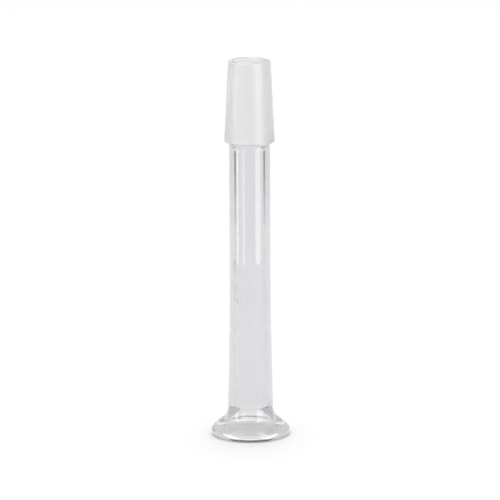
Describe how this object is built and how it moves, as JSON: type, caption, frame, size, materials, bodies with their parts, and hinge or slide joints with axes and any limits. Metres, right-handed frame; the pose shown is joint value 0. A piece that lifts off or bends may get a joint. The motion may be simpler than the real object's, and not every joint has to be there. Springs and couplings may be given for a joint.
{
  "type": "glass vapour tube",
  "caption": "Straight clear glass tube with a ground male taper cone at the top and a bell-mouthed flange at the foot, to carry vapour from a flask.",
  "frame": {"origin": "centre of the flat sealing face under the flange", "axes": "+Z along the tube's axis, from the flange up to the tip of the ground cone; X and Y are free, because the tube is a solid of revolution"},
  "size_m": [0.0374, 0.0374, 0.18],
  "materials": {
    "ground_glass": "borosilicate glass ground matt with fine grit, translucent white",
    "clear_glass": "drawn borosilicate tube, fire-polished, clear and glossy"
  },
  "bodies": {
    "root": {"ground_cone": "ground_glass", "joint_shoulder": "clear_glass", "upper_tube": "clear_glass", "lower_tube": "clear_glass", "flange": "clear_glass"}
  },
  "joints": []
}
